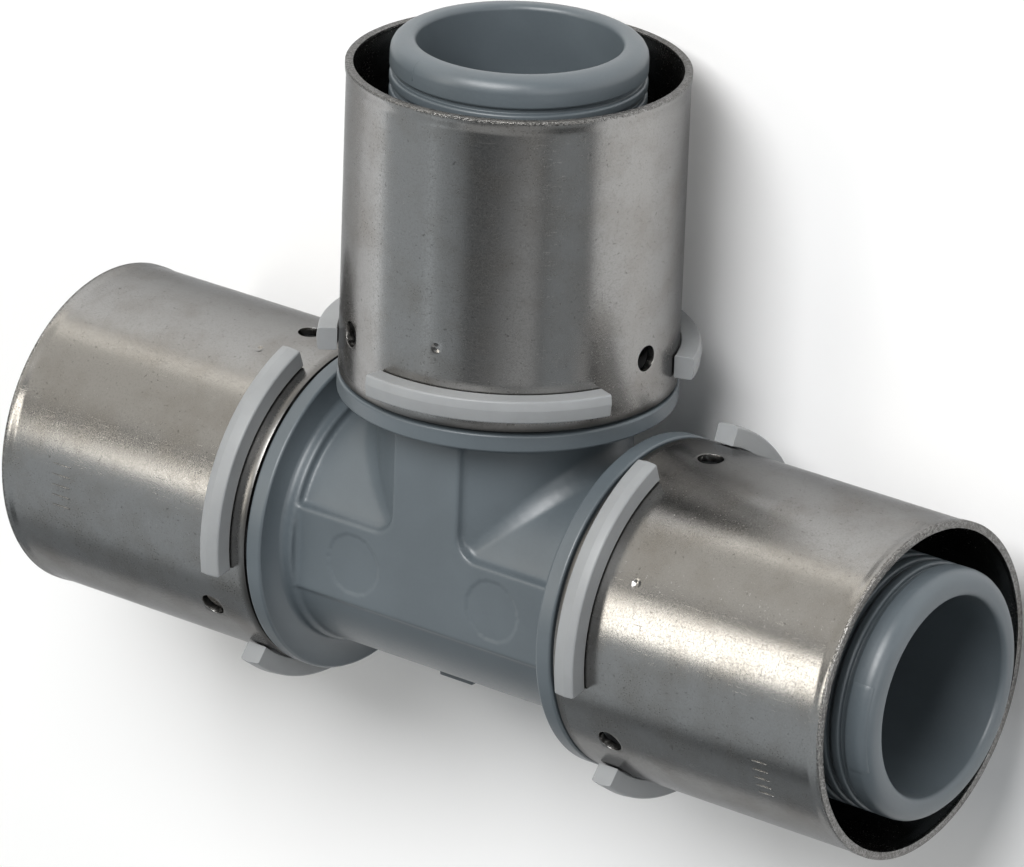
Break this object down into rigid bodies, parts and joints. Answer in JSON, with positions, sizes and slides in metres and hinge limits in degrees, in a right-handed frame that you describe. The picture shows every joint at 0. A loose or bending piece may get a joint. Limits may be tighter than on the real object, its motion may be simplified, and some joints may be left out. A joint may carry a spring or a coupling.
{
  "type": "press tee",
  "caption": "Equal press tee for multilayer pipe: a moulded plastic body with ribbed spigots, and on each spigot a steel press sleeve held by a plastic stop ring.",
  "frame": {"origin": "where the axes of the three waterways cross", "axes": "+X along the run towards the right port, +Y along the branch, +Z out of the flat front panel. The tee lies on its back."},
  "size_m": [0.136, 0.092, 0.0478],
  "materials": {
    "body": "semi-gloss moulded blue-grey",
    "sleeve": "tumbled stainless, soft mirror",
    "stop_ring": "satin off-white",
    "seal": "smooth black"
  },
  "bodies": {
    "root": {"body": "body", "run_left_sleeve": "sleeve", "run_right_sleeve": "sleeve", "branch_sleeve": "sleeve", "run_left_stop_ring": "stop_ring", "run_right_stop_ring": "stop_ring", "branch_stop_ring": "stop_ring", "run_left_inner_seal": "seal", "run_left_outer_seal": "seal", "run_right_inner_seal": "seal", "run_right_outer_seal": "seal", "branch_inner_seal": "seal", "branch_outer_seal": "seal"}
  },
  "joints": []
}
